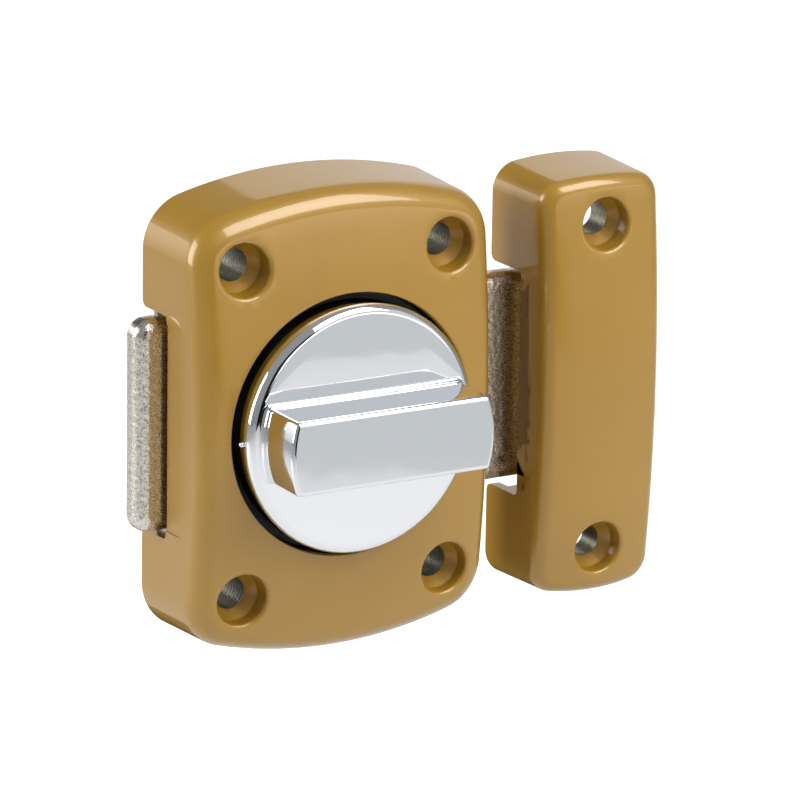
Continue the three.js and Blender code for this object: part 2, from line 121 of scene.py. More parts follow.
def soft_light(name, at, size, power):
    """A rectangular soft light at a place, turned towards the latch."""
    lamp = bpy.data.lights.new(name, "AREA")
    lamp.shape = "RECTANGLE"
    lamp.size, lamp.size_y = size
    lamp.energy = power
    holder = bpy.data.objects.new(name, lamp)
    holder.location = at
    holder.rotation_euler = (AIM - Vector(at)).to_track_quat("-Z", "Y").to_euler()
    holder.visible_camera = False
    bpy.context.scene.collection.objects.link(holder)


def card(name, azimuth, elevation, spread, distance, low_shade, high_shade, glow=1.0):
    """A card on a ring round the latch, angles in degrees, shaded from its lower edge up."""
    a, e = math.radians(azimuth), math.radians(elevation)
    wide, tall = (2 * distance * math.tan(math.radians(s) / 2) for s in spread)
    at = AIM + distance * Vector((math.cos(a) * math.cos(e), math.sin(a) * math.cos(e), math.sin(e)))
    bm = bmesh.new()
    bmesh.ops.create_grid(bm, x_segments=1, y_segments=1, size=0.5)
    bmesh.ops.scale(bm, verts=bm.verts, vec=(wide, tall, 1))
    mesh = bpy.data.meshes.new(name)
    bm.to_mesh(mesh)
    bm.free()
    board = bpy.data.objects.new(name, mesh)
    board.location = at
    board.rotation_euler = (AIM - at).to_track_quat("Z", "Y").to_euler()
    board.visible_camera = False
    board.visible_shadow = False
    board.visible_diffuse = False
    bpy.context.scene.collection.objects.link(board)
    paper = bpy.data.materials.new(name)
    paper.use_nodes = True
    tree = paper.node_tree
    tree.nodes.clear()
    spot = add(tree, "ShaderNodeTexCoord")
    axes = add(tree, "ShaderNodeSeparateXYZ", {0: spot.outputs["Object"]})
    share = add(tree, "ShaderNodeMapRange", {0: axes.outputs["Y"], 1: -tall / 2, 2: tall / 2})
    tone = add(tree, "ShaderNodeValToRGB", {0: share.outputs[0]})
    tone.color_ramp.elements[0].color = colour(low_shade)
    tone.color_ramp.elements[1].color = colour(high_shade)
    light = add(tree, "ShaderNodeEmission", {"Color": tone.outputs["Color"], "Strength": glow})
    add(tree, "ShaderNodeOutputMaterial", {"Surface": light.outputs[0]})
    mesh.materials.append(paper)


soft_light("upper_right", (0.45, -0.9, 1.15), (1.1, 1.0), 22)
soft_light("left_lamp", (-1.1, 0.4, 0.35), (0.6, 0.8), 9.5)
card("left_softbox", 119, 6, (34, 26), 0.9, "#8f8f8f", "#ffffff", 2.3)
card("dark_above_left", 104, 42, (60, 34), 1.0, "#4c4a46", "#6a6864")
card("dark_behind_camera", 262, 6, (34, 38), 1.7, "#060606", "#303030")
card("front_glow", 300, 3, (66, 13), 1.5, "#7d7a76", "#fff0e4", 3.4)
card("gap_flag", 84, -41, (62, 36), 0.087, "#241c10", "#241c10")
card("grey_wall_front", 310, 10, (56, 60), 1.6, "#cfd2d3", "#dcdee0")
card("pale_wall_back", 58, 18, (52, 40), 1.6, "#dedede", "#f4f4f4")

top = bmesh.new()
bmesh.ops.create_grid(top, x_segments=1, y_segments=1, size=0.5)
bmesh.ops.scale(top, verts=top.verts, vec=(12, 10, 1))
bmesh.ops.translate(top, verts=top.verts, vec=(0, 5 - FLOOR_FRONT, -FLOOR_DROP))
bmesh.ops.rotate(top, verts=top.verts, cent=(0, 0, 0), matrix=Matrix.Rotation(TABLE_TURN, 3, "Z"))
table_mesh = bpy.data.meshes.new("table_top")
top.to_mesh(table_mesh)
top.free()
table_top = bpy.data.objects.new("table_top", table_mesh)
bpy.context.scene.collection.objects.link(table_top)
white_board = bpy.data.materials.new("white_board")
white_board.use_nodes = True
board_shader = white_board.node_tree.nodes["Principled BSDF"]
board_shader.inputs["Base Color"].default_value = colour("#dedede")
board_shader.inputs["Roughness"].default_value = 0.9
# Painted light: the table top glows faintly all over, and more brightly in a round pool behind the latch.
spot = add(white_board.node_tree, "ShaderNodeTexCoord")
laid = add(
    white_board.node_tree, "ShaderNodeMapping",
    {"Vector": spot.outputs["Object"], "Location": (-0.62, -1.06, 0.0), "Scale": (0.62, 0.62, 0.0)},
)
painted_pool_shape = add(
    white_board.node_tree, "ShaderNodeTexGradient", {"Vector": laid.outputs[0]}, gradient_type="SPHERICAL"
)
painted_pool_glow = add(
    white_board.node_tree, "ShaderNodeMapRange",
    {0: painted_pool_shape.outputs["Fac"], 1: 0.0, 2: 0.35, 3: 0.12, 4: 0.85},
)
white_board.node_tree.links.new(painted_pool_glow.outputs[0], board_shader.inputs["Emission Strength"])
board_shader.inputs["Emission Color"].default_value = colour("#ffffff")
table_mesh.materials.append(white_board)


# ---- Case casting -------------------------------------------------------------------------
# A die-cast zinc box with a crowned face, coated in glossy golden-bronze epoxy. The screw
# holes are drilled after coating, so their bores are bare metal.
def arc(centre, radius, start, stop, steps):
    """Points of an arc in degrees, as (across, along) pairs."""
    turn = [math.radians(start + (stop - start) * i / steps) for i in range(steps + 1)]
    return [(centre[0] + radius * math.cos(a), centre[1] + radius * math.sin(a)) for a in turn]


def outline(width, height, end_radius, corner_radius, steps=(16, 14, 10)):
    """Round-cornered plate with bowed ends, as (x, z, normal x, normal z), clockwise."""
    centre = height / 2 - end_radius
    corner_x = width / 2 - corner_radius
    corner_z = centre + math.sqrt((end_radius - corner_radius) ** 2 - corner_x ** 2)
    meet = math.atan2(corner_z - centre, corner_x)
    quarter = []
    for middle, radius, start, stop, count in (
        ((0, centre), end_radius, math.pi / 2, meet, steps[0]),
        ((corner_x, corner_z), corner_radius, meet, 0, steps[1]),
    ):
        for i in range(count):
            a = start + (stop - start) * i / count
            normal = (math.cos(a), math.sin(a))
            quarter.append((middle[0] + radius * normal[0], middle[1] + radius * normal[1], *normal))
    quarter += [(width / 2, corner_z * (1 - i / steps[2]), 1, 0) for i in range(steps[2])]
    side = (width / 2, 0, 1, 0)
    lower = [(x, -z, nx, -nz) for x, z, nx, nz in reversed(quarter)]
    right = quarter + [side] + lower
    left = [(-x, z, -nx, nz) for x, z, nx, nz in reversed(right[1:-1])]
    return right + left


def net(edge, rings):
    """A closed skin on an outline. It is spun as a plain net, one level for each ring, and
    each ring is then laid at its share of the outline, its inset and its depth."""
    bm = bmesh.new()
    column = [bm.verts.new((min(1, abs(ring[0]) * 9), level, 0)) for level, ring in enumerate(rings)]
    seams = [bm.edges.new(pair) for pair in zip(column, column[1:])]
    full = 2 * math.pi
    bmesh.ops.spin(
        bm, geom=column + seams, cent=(0, 0, 0), axis=(0, 1, 0), angle=full, steps=len(edge), use_merge=True
    )
    bmesh.ops.remove_doubles(bm, verts=bm.verts, dist=1e-4)
    for vert in bm.verts:
        share, inset, depth = rings[round(vert.co.y)]
        place = round(math.atan2(vert.co.z, vert.co.x) / full * len(edge)) % len(edge)
        x, z, nx, nz = edge[place]
        x, z = share * (x - nx * inset), share * (z - nz * inset)
        vert.co = (x * MM, -(depth(x, z) if callable(depth) else depth) * MM, z * MM)
    bmesh.ops.holes_fill(bm, edges=[e for e in bm.edges if e.is_boundary], sides=0)
    bmesh.ops.recalc_face_normals(bm, faces=bm.faces)
    return bm


def turned(profile, centre=(0, 0), steps=96):
    """A turned solid: a half-section of (radius, depth) pairs spun about a line along Y."""
    bm = bmesh.new()
    points = [bm.verts.new((r * MM, -d * MM, 0)) for r, d in profile]
    loop = list(zip(points, points[1:]))
    if profile[0][0] > 0 or profile[-1][0] > 0:
        loop.append((points[-1], points[0]))
    seams = [bm.edges.new(pair) for pair in loop]
    bmesh.ops.spin(
        bm, geom=points + seams, cent=(0, 0, 0), axis=(0, 1, 0), angle=2 * math.pi, steps=steps,
        use_merge=True,
    )
    bmesh.ops.remove_doubles(bm, verts=bm.verts, dist=1e-7)
    bmesh.ops.translate(bm, verts=bm.verts, vec=(centre[0] * MM, 0, centre[1] * MM))
    bmesh.ops.recalc_face_normals(bm, faces=bm.faces)
    return bm


def block(x0, x1, d0, d1, z0, z1, rounding=0, along=None):
    """A block by its limits; edges along one axis can be rounded."""
    bm = bmesh.new()
    bmesh.ops.create_cube(bm, size=1)
    size = Vector((x1 - x0, d1 - d0, z1 - z0))
    middle = Vector((x0 + x1, -(d0 + d1), z0 + z1)) / 2
    bmesh.ops.scale(bm, verts=bm.verts, vec=size * MM)
    bmesh.ops.translate(bm, verts=bm.verts, vec=middle * MM)
    if rounding:
        axis = "xyz".index(along)
        edges = [e for e in bm.edges if abs((e.verts[0].co - e.verts[1].co)[axis]) > 1e-6]
        bmesh.ops.bevel(
            bm, geom=edges, offset=rounding * MM, segments=8, profile=0.5, affect="EDGES", material=-1
        )
    return bm


def solid(name, bm, materials=()):
    """A Blender object made from a bmesh, which is used up."""
    mesh = bpy.data.meshes.new(name)
    bm.to_mesh(mesh)
    bm.free()
    for material in materials:
        mesh.materials.append(material)
    thing = bpy.data.objects.new(name, mesh)
    bpy.context.scene.collection.objects.link(thing)
    return thing


def combine(thing, tools, operation):
    """Cuts or joins a body with tool bodies, one after another, and drops the tools."""
    for tool in tools:
        step = thing.modifiers.new("step", "BOOLEAN")
        step.object = tool
        step.operation = operation
        step.solver = "MANIFOLD"
        step.material_mode = "TRANSFER"
    graph = bpy.context.evaluated_depsgraph_get()
    result = bpy.data.meshes.new_from_object(thing.evaluated_get(graph))
    old = thing.data
    thing.modifiers.clear()
    result.name = thing.name
    thing.data = result
    bpy.data.meshes.remove(old)
    for tool in tools:
        bpy.data.objects.remove(tool)


def finish_edges(thing, width, angle=35, segments=2):
    """Breaks the sharp edges, shades the rest smooth."""
    if width:
        bevel = thing.modifiers.new("edges", "BEVEL")
        bevel.width = width * MM
        bevel.segments = segments
        bevel.limit_method = "ANGLE"
        bevel.angle_limit = math.radians(angle)
        bevel.use_clamp_overlap = True
        bevel.harden_normals = False
    graph = bpy.context.evaluated_depsgraph_get()
    mesh = bpy.data.meshes.new_from_object(thing.evaluated_get(graph))
    old = thing.data
    thing.modifiers.clear()
    mesh.name = thing.name
    thing.data = mesh
    bpy.data.meshes.remove(old)
    bm = bmesh.new()
    bm.from_mesh(mesh)
    bmesh.ops.dissolve_degenerate(bm, dist=0.002 * MM, edges=bm.edges)
    bm.to_mesh(mesh)
    bm.free()
    mesh.shade_smooth()
    mesh.set_sharp_from_angle(angle=math.radians(32))


def material(name):
    """A new material and the tree and shader that a finish is built in."""
    new = bpy.data.materials.new(name)
    new.use_nodes = True
    return new, new.node_tree, new.node_tree.nodes["Principled BSDF"]


def per_mm(size):
    """The scale of a pattern on Object coordinates whose features are this many mm."""
    return 1000 / size


# Glossy epoxy powder coat: a warm gold-bronze with a clear, slightly rippled skin.
bronze_epoxy, tree, shader = material("bronze_epoxy")
spot = add(tree, "ShaderNodeTexCoord").outputs["Object"]
drift = add(tree, "ShaderNodeTexNoise", {"Vector": spot, "Scale": per_mm(28), "Detail": 3.0})
tone = add(tree, "ShaderNodeValToRGB", {0: drift.outputs["Fac"]})
tone.color_ramp.elements[0].position, tone.color_ramp.elements[1].position = 0.3, 0.7
tone.color_ramp.elements[0].color = colour("#a57c20")
tone.color_ramp.elements[1].color = colour("#ac8326")
tree.links.new(tone.outputs["Color"], shader.inputs["Base Color"])
peel = add(tree, "ShaderNodeTexNoise", {"Vector": spot, "Scale": per_mm(2.4), "Detail": 1.0})
ripple = add(tree, "ShaderNodeBump", {"Height": peel.outputs["Fac"], "Strength": 0.05, "Distance": 0.0003})
tree.links.new(ripple.outputs["Normal"], shader.inputs["Normal"])
tree.links.new(ripple.outputs["Normal"], shader.inputs["Coat Normal"])
shader.inputs["Metallic"].default_value = 0.15
shader.inputs["Roughness"].default_value = 0.42
shader.inputs["Coat Weight"].default_value = 0.9
shader.inputs["Coat Roughness"].default_value = 0.08

# Drilled zinc: dull grey with the drill's fine rings.
bare_zinc, tree, shader = material("bare_zinc")
spot = add(tree, "ShaderNodeTexCoord").outputs["Object"]
grain = add(tree, "ShaderNodeTexNoise", {"Vector": spot, "Scale": per_mm(0.6), "Detail": 4.0})
tone = add(tree, "ShaderNodeValToRGB", {0: grain.outputs["Fac"]})
tone.color_ramp.elements[0].color = colour("#5a584c")
tone.color_ramp.elements[1].color = colour("#c9c6b4")
tree.links.new(tone.outputs["Color"], shader.inputs["Base Color"])
rings = add(tree, "ShaderNodeTexWave", {"Vector": spot, "Scale": per_mm(3.2)}, bands_direction="Y")
scratch = add(tree, "ShaderNodeBump", {"Height": rings.outputs["Fac"], "Strength": 0.4, "Distance": 0.0001})
tree.links.new(scratch.outputs["Normal"], shader.inputs["Normal"])
shader.inputs["Metallic"].default_value = 0.9
shader.inputs["Roughness"].default_value = 0.38

# The pocket's wall is near black and dull, so the gap round the knob is dark.
pocket_near_black, tree, shader = material("pocket_near_black")
spot = add(tree, "ShaderNodeTexCoord").outputs["Object"]
skin = add(tree, "ShaderNodeTexNoise", {"Vector": spot, "Scale": per_mm(0.8), "Detail": 3.0})
tone = add(tree, "ShaderNodeValToRGB", {0: skin.outputs["Fac"]})
tone.color_ramp.elements[0].color = colour("#060606")
tone.color_ramp.elements[1].color = colour("#141312")
tree.links.new(tone.outputs["Color"], shader.inputs["Base Color"])
shader.inputs["Roughness"].default_value = 0.7

CASE = {"ends": 99, "corner": 10.6, "edge": 4.4, "across": 290, "along": 262}
WALL = 2.2
DRAFT = 0.027
low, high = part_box("case_shell")
CASE_WIDTH, CASE_HEIGHT = ((high[i] - low[i]) / MM for i in (0, 2))
CASE_DEPTH = 24.5
HOLE = {"bore": 3.3, "wall": 5.2, "depth": 4.2, "seat": 1.6, "lip": 0.9}
CASE_HOLES = [(x, z) for x in (-22.7, 22.7) for z in (-33, 33)]
POCKET_RADIUS = 26.35
POCKET_DEPTH = 17.5
POCKET_REAR = 15.0
BOLT_HALF = 21.5
NOTCH_HALF = 22.5
NOTCH_DEPTH = 9.3


def crown(shape, depth):
    """The depth of a crowned face at any x and z."""
    def level(x, z):
        return depth - x * x / (2 * shape["across"]) - z * z / (2 * shape["along"])
    return level


def casting(width, height, depth, shape, inner_edge):
    """A crowned, drafted shell with an open back and an even wall, as one closed skin."""
    face = crown(shape, depth)
    inside = crown(shape, depth - WALL)
    rings = [(s / 14, shape["edge"] + DRAFT * depth, face) for s in range(14)]
    for i in range(11):
        a = math.radians(9 * i)
        inset = shape["edge"] * (1 - math.sin(a)) + DRAFT * depth
        drop = shape["edge"] * (1 - math.cos(a))
        rings.append((1, inset, lambda x, z, drop=drop: face(x, z) - drop))
    for share in (0.8, 0.6, 0.4, 0.2, 0):
        rings.append((1, DRAFT * depth * share, lambda x, z, s=share: s * (face(x, z) - shape["edge"])))
    for share in (0, 0.25, 0.5, 0.75):
        inset = WALL + DRAFT * depth * share
        rings.append((1, inset, lambda x, z, s=share: s * (inside(x, z) - inner_edge)))
    for i in range(5):
        a = math.radians(90 - 22.5 * i)
        inset = WALL + inner_edge * (1 - math.sin(a)) + DRAFT * depth
        drop = inner_edge * (1 - math.cos(a))
        rings.append((1, inset, lambda x, z, drop=drop: inside(x, z) - drop))
    rings += [(s / 6, WALL + inner_edge + DRAFT * depth, inside) for s in reversed(range(6))]
    return net(outline(width, height, shape["ends"], shape["corner"]), rings)


def follow(bm, face, centre, above):
    """Shifts what lies above a depth so that it follows the crowned face."""
    middle = face(*centre)
    for vert in bm.verts:
        if -vert.co.y / MM > above:
            vert.co.y -= (face(vert.co.x / MM, vert.co.z / MM) - middle) * MM
    return bm


def screw_seat(face, x, z):
    """The cutter for a counterbore with a soft lip and a conical seat."""
    top = face(x, z)
    seat = top - HOLE["depth"]
    lip = HOLE["lip"]
    profile = [(0, seat - HOLE["seat"] - 0.01), (HOLE["bore"] + 0.01, seat - HOLE["seat"] - 0.01)]
    profile += arc((HOLE["wall"] - 0.6, seat + 0.6), 0.6, -45, 0, 4)
    profile += [(r, d) for r, d in arc((HOLE["wall"] + lip, top - lip), lip, 180, 98, 8)]
    profile += [(HOLE["wall"] + lip * 1.35, top + 0.06), (HOLE["wall"] + lip * 1.5, top + 4), (0, top + 4)]
    return follow(turned(profile, (x, z), 72), face, (x, z), seat + 1)


def screw_bore(level, x, z):
    """The cutter for the drilled hole behind the seat."""
    top = level(x, z) - HOLE["depth"] - HOLE["seat"] + 0.2
    return turned([(0, -1), (HOLE["bore"], -1), (HOLE["bore"], top), (0, top)], (x, z), 72)


def notch(x0, x1, depth, half):
    """The cutter for the bolt's way through a wall, flared where it meets the door."""
    flare, inner = 1.6, 1.0
    upper = [(-1, half + flare + 1), (0, half + flare + 1)]
    upper += [(d, z) for d, z in arc((flare, half + flare), flare, 180, 270, 8)][1:]
    upper += arc((depth - inner, half - inner), inner, 90, 0, 6)
    lower = [(d, -z) for d, z in reversed(upper)]
    bm = bmesh.new()
    ring = [bm.verts.new((x0 * MM, -d * MM, z * MM)) for d, z in upper + lower]
    sheet = bm.faces.new(ring)
    grown = bmesh.ops.extrude_face_region(bm, geom=[sheet])
    moved = [g for g in grown["geom"] if isinstance(g, bmesh.types.BMVert)]
    bmesh.ops.translate(bm, verts=moved, vec=((x1 - x0) * MM, 0, 0))
    bmesh.ops.recalc_face_normals(bm, faces=bm.faces)
    return bm


def side_panel(side, half_width, d1, half):
    """The cutter for the shallow sunk panel in a side wall, which follows its draft."""
    sunk, reach = 0.36, 4
    bm = block(half_width - sunk, half_width + reach, -6, d1, -half, half, 3.4, "x")
    for vert in bm.verts:
        vert.co.x = side * (vert.co.x + DRAFT * vert.co.y)
    bmesh.ops.recalc_face_normals(bm, faces=bm.faces)
    return bm


def joined(*parts):
    """Several bodies as one bmesh."""
    whole = bmesh.new()
    for part in parts:
        spare = bpy.data.meshes.new("spare")
        part.to_mesh(spare)
        part.free()
        whole.from_mesh(spare)
        bpy.data.meshes.remove(spare)
    return whole


RIB_INNER, RIB_THICKNESS, RIB_CUT = 24.1, 2, 6.5
PLATE_SCREWS = [(x, z) for x in (-10.5, 10.5) for z in (-38, 38)]
SEAT_LEVEL = 1.55
PIN_PLACES = [(-12, z) for z in (-17.78, 17.78)]
face = crown(CASE, CASE_DEPTH)
case_shell = solid(
    "case_shell_casting", casting(CASE_WIDTH, CASE_HEIGHT, CASE_DEPTH, CASE, 2.2), [bronze_epoxy]
)


def pillar(radius, centre, rear, level, steps=48):
    """A post on the back of a crowned face, its front sunk halfway into the wall."""
    front = level(*centre) - WALL / 2
    bm = turned([(0, rear), (radius, rear), (radius, front), (0, front)], centre, steps)
    return follow(bm, level, centre, rear + 1)


def rib(reach, front, rear, side):
    """A rib across a casting, above or below the bolt, its front corners cut back."""
    bm = block(-reach, reach, rear, front, *sorted((side * RIB_INNER, side * (RIB_INNER + RIB_THICKNESS))))
    ends = []
    for edge in bm.edges:
        first, last = (v.co for v in edge.verts)
        if abs(first.z - last.z) > 1e-4 and first.y < -(front - 1) * MM:
            ends.append(edge)
    bmesh.ops.bevel(bm, geom=ends, offset=RIB_CUT * MM, segments=1, profile=0.5, affect="EDGES", material=-1)
    return bm


cup_radius, cup_front = POCKET_RADIUS + WALL, CASE_DEPTH - 2.6
cup = turned([(0, POCKET_REAR), (cup_radius, POCKET_REAR), (cup_radius, cup_front), (0, cup_front)])
pillars = [pillar(7.05, at, SEAT_LEVEL, face) for at in CASE_HOLES]
pillars += [pillar(3.4, at, SEAT_LEVEL, face, 32) for at in PLATE_SCREWS]
ribs = [rib(32.4, 20.4, SEAT_LEVEL, side) for side in (-1, 1)]
post_rear, post_front, post_radius = NOTCH_DEPTH - 0.5, 16, 3
post = [(0, post_rear), (post_radius, post_rear), (post_radius, post_front), (0, post_front)]
pin_posts = [turned(post, at, 32) for at in PIN_PLACES]
combine(
    case_shell,
    [solid("tool", bm) for bm in (cup, joined(*ribs), joined(*pillars), joined(*pin_posts))],
    "UNION",
)
lip = 0.5
black_front = CASE_DEPTH - 2.9
pocket = [(0, black_front - 0.1), (POCKET_RADIUS, black_front - 0.1)]
pocket += arc((POCKET_RADIUS + lip, CASE_DEPTH - 1.26 - lip), lip, 180, 98, 6)
pocket += [(POCKET_RADIUS + 1.2, CASE_DEPTH - 1.1), (POCKET_RADIUS + 1.4, CASE_DEPTH + 4)]
pocket += [(0, CASE_DEPTH + 4)]
pilot_holes = [turned([(0, 0), (1.55, 0), (1.55, 9), (0, 9)], at, 24) for at in PLATE_SCREWS]
pin_holes = [turned([(0, 0), (1.55, 0), (1.55, 14), (0, 14)], at, 24) for at in PIN_PLACES]
well = [(0, POCKET_DEPTH), (POCKET_RADIUS, POCKET_DEPTH), (POCKET_RADIUS, black_front), (0, black_front)]
bush_hole = turned([(0, 12), (7.05, 12), (7.05, 19), (0, 19)])
panels = [side_panel(s, CASE_WIDTH / 2, 17.1, 20.8) for s in (-1, 1)]
combine(
    case_shell,
    [solid("tool", bm, [bronze_epoxy]) for bm in (
        turned(pocket, steps=160),
        bush_hole,
        joined(*[screw_seat(face, x, z) for x, z in CASE_HOLES]),
        joined(*panels),
        notch(-CASE_WIDTH, CASE_WIDTH, NOTCH_DEPTH, NOTCH_HALF),
        joined(*pilot_holes, *pin_holes),
    )]
    + [solid("tool", joined(*[screw_bore(face, x, z) for x, z in CASE_HOLES]), [bare_zinc])]
    + [solid("tool", turned(well, steps=160), [pocket_near_black])],
    "DIFFERENCE",
)
finish_edges(case_shell, 0)
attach(case_shell, "case_side")
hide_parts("case_shell")


# ---- Back plate ---------------------------------------------------------------------------
# A blanked steel plate that closes the case on the door side, zinc plated. The screws and pins
# are of the same plated steel.
def carried(name, finish):
    """Gives a part of the frame its finish."""
    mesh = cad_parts[name].data
    mesh.materials.clear()
    mesh.materials.append(finish)


# Zinc plate, blue passivated: pale grey with a faint spangle and a fine brushed drag.
zinc_plate, tree, shader = material("zinc_plated_steel")
spot = add(tree, "ShaderNodeTexCoord").outputs["Object"]
spangle = add(tree, "ShaderNodeTexNoise", {"Vector": spot, "Scale": per_mm(5), "Detail": 5.0})
tone = add(tree, "ShaderNodeValToRGB", {0: spangle.outputs["Fac"]})
tone.color_ramp.elements[0].position, tone.color_ramp.elements[1].position = 0.35, 0.7
tone.color_ramp.elements[0].color = colour("#9ea2a6")
tone.color_ramp.elements[1].color = colour("#c3c6c8")
tree.links.new(tone.outputs["Color"], shader.inputs["Base Color"])
drag = add(tree, "ShaderNodeMapping", {"Vector": spot, "Scale": (per_mm(9), per_mm(9), per_mm(0.25))})
grain = add(tree, "ShaderNodeTexNoise", {"Vector": drag.outputs[0], "Scale": 1.0, "Detail": 2.0})
rough = add(tree, "ShaderNodeMapRange", {0: grain.outputs["Fac"], 3: 0.26, 4: 0.46})
tree.links.new(rough.outputs[0], shader.inputs["Roughness"])
relief = add(tree, "ShaderNodeBump", {"Height": grain.outputs["Fac"], "Strength": 0.12, "Distance": 0.0001})
tree.links.new(relief.outputs["Normal"], shader.inputs["Normal"])
shader.inputs["Metallic"].default_value = 1.0
carried("back_plate", zinc_plate)


# ---- Plate screws -------------------------------------------------------------------------
# Four countersunk self-tapping screws that hold the plate to posts in the casting. Cold-headed
# steel with a cross recess, rolled thread, zinc plated.
def plate_screw(x, z):
    """One screw from its head, flush in the plate, to its blunt tip."""
    profile = [(0, 0.06), (2.7, 0.06), (2.86, 0.2), (1.5, 1.5)]
    thread = 1.7
    while thread < 7.1:
        profile += [(1.2, thread), (1.44, thread + 0.22), (1.44, thread + 0.3), (1.2, thread + 0.52)]
        thread += 0.9
    bm = turned(profile + [(0.5, 7.95), (0, 7.98)], (x, z), 28)
    return bm


for i, (x, z) in enumerate(((-10.5, 38), (10.5, 38), (-10.5, -38), (10.5, -38)), start=1):
    screw = solid(f"plate_screw_{i}_turned", plate_screw(x, z), [zinc_plate])
    arms = [
        solid("tool", block(x - w, x + w, -1, 0.95, z - h, z + h), [zinc_plate])
        for w, h in ((1.5, 0.32), (0.32, 1.5))
    ]
    combine(screw, arms, "DIFFERENCE")
    finish_edges(screw, 0.05)
    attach(screw, "case_side")
    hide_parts(f"plate_screw_{i}")


# ---- Bearing of the spindle ---------------------------------------------------------------
# A turned brass bush pressed into the pocket's floor, with a wave washer of spring steel and
# a black nylon ring under the knob's skirt: that ring is the dark line round the knob.
# Turned brass: warm yellow with the tool's fine rings round the bore.
turned_brass, tree, shader = material("turned_brass")
spot = add(tree, "ShaderNodeTexCoord").outputs["Object"]
rings = add(
    tree, "ShaderNodeTexWave", {"Vector": spot, "Scale": per_mm(3.5), "Distortion": 0.6},
    wave_type="RINGS", rings_direction="Y",
)
relief = add(tree, "ShaderNodeBump", {"Height": rings.outputs["Fac"], "Strength": 0.15, "Distance": 0.0001})
tree.links.new(relief.outputs["Normal"], shader.inputs["Normal"])
stain = add(tree, "ShaderNodeTexNoise", {"Vector": spot, "Scale": per_mm(6), "Detail": 3.0})
tone = add(tree, "ShaderNodeValToRGB", {0: stain.outputs["Fac"]})
tone.color_ramp.elements[0].color = colour("#b08d3e")
tone.color_ramp.elements[1].color = colour("#d8bb6a")
tree.links.new(tone.outputs["Color"], shader.inputs["Base Color"])
shader.inputs["Metallic"].default_value = 1.0
shader.inputs["Roughness"].default_value = 0.3
carried("bearing_bush", turned_brass)
carried("thrust_washer", turned_brass)

# Blued spring steel: dark grey-blue, oily sheen.
spring_steel, tree, shader = material("blued_spring_steel")
spot = add(tree, "ShaderNodeTexCoord").outputs["Object"]
stain = add(tree, "ShaderNodeTexNoise", {"Vector": spot, "Scale": per_mm(4), "Detail": 4.0})
tone = add(tree, "ShaderNodeValToRGB", {0: stain.outputs["Fac"]})
tone.color_ramp.elements[0].color = colour("#3a3d44")
tone.color_ramp.elements[1].color = colour("#5c5f66")
tree.links.new(tone.outputs["Color"], shader.inputs["Base Color"])
shader.inputs["Metallic"].default_value = 1.0
shader.inputs["Roughness"].default_value = 0.34
for name in ("wave_washer", "circlip"):
    carried(name, spring_steel)

# Black nylon: moulded, nearly black, with a dull spark-eroded skin.
black_nylon, tree, shader = material("black_nylon")
spot = add(tree, "ShaderNodeTexCoord").outputs["Object"]
skin = add(tree, "ShaderNodeTexNoise", {"Vector": spot, "Scale": per_mm(0.5), "Detail": 2.0})
relief = add(tree, "ShaderNodeBump", {"Height": skin.outputs["Fac"], "Strength": 0.25, "Distance": 0.0001})
tree.links.new(relief.outputs["Normal"], shader.inputs["Normal"])
tone = add(tree, "ShaderNodeValToRGB", {0: skin.outputs["Fac"]})
tone.color_ramp.elements[0].color = colour("#0c0c0d")
tone.color_ramp.elements[1].color = colour("#1b1b1c")
tree.links.new(tone.outputs["Color"], shader.inputs["Base Color"])
shader.inputs["Roughness"].default_value = 0.5
carried("knob_glide_ring", black_nylon)


# ---- Turn knob ----------------------------------------------------------------------------
# A zinc die casting, polished and bright-chrome plated: a slightly domed disc with a round
# rim, a grip bar across it with a fillet at its foot, and a small plating nib on its flank.
KNOB = {"radius": 25, "base": 19.0, "rim": 2.0, "top": 28.25, "dome": 800}
BAR = {"height": 14.8, "length": 45, "front": 40.4, "edge": 0.85, "corner": 1.05, "foot": 1.0}
FACE_TILT = 0.038


def dome(x, z):
    """The depth of the disc's domed face."""
    return KNOB["top"] - (x * x + z * z) / (2 * KNOB["dome"])


flat_reach = KNOB["radius"] - KNOB["rim"]
section = [(r, dome(r, 0)) for r in (0, 4, 8, 12, 15, 18, 20.5)]
section += arc((flat_reach, dome(flat_reach, 0) - KNOB["rim"] + 0.002), KNOB["rim"], 87.2, 0, 16)
section += [(KNOB["radius"], 23), (KNOB["radius"], KNOB["base"] + 0.3)]
section += [(24.7, KNOB["base"]), (22.4, KNOB["base"])]
section += [(22.4, 24.9), (9.4, 24.9), (9.4, 18.3), (0, 18.3)]
turn_knob = solid("turn_knob_chromed", turned(section, steps=192))

levels = [(1, -0.9 * BAR["foot"], 26.3)]
for i in range(8):
    a = math.radians(8 + 82 * i / 7)
    spread = BAR["foot"] * (1 - math.sin(a))
    lift = BAR["foot"] * (1 - math.cos(a))
    levels.append((1, -spread, lambda x, z, lift=lift: dome(x, z) + lift))
levels += [(1, 0.03, 32), (1, 0.06, 36)]
for i in range(9):
    a = math.radians(90 * i / 8)
    inset = 0.08 + BAR["edge"] * (1 - math.cos(a))
    back = BAR["edge"] * (1 - math.sin(a))
    levels.append((1, inset, lambda x, z, b=back: BAR["front"] - b - FACE_TILT * (BAR["height"] / 2 - x)))
full_in = 0.08 + BAR["edge"]
levels.append((1, full_in + 0.06, lambda x, z: BAR["front"] - FACE_TILT * (BAR["height"] / 2 - x)))
bar_mesh = net(outline(BAR["height"], BAR["length"], BAR["length"] / 2, BAR["corner"], (20, 8, 12)), levels)
bmesh.ops.rotate(bar_mesh, verts=bar_mesh.verts, cent=(0, 0, 0), matrix=Matrix.Rotation(math.pi / 2, 3, "Y"))
nib = bmesh.new()
bmesh.ops.create_uvsphere(nib, u_segments=20, v_segments=12, radius=0.55 * MM)
bmesh.ops.translate(nib, verts=nib.verts, vec=(-25.4 * MM, -25.2 * MM, -0.1 * MM))
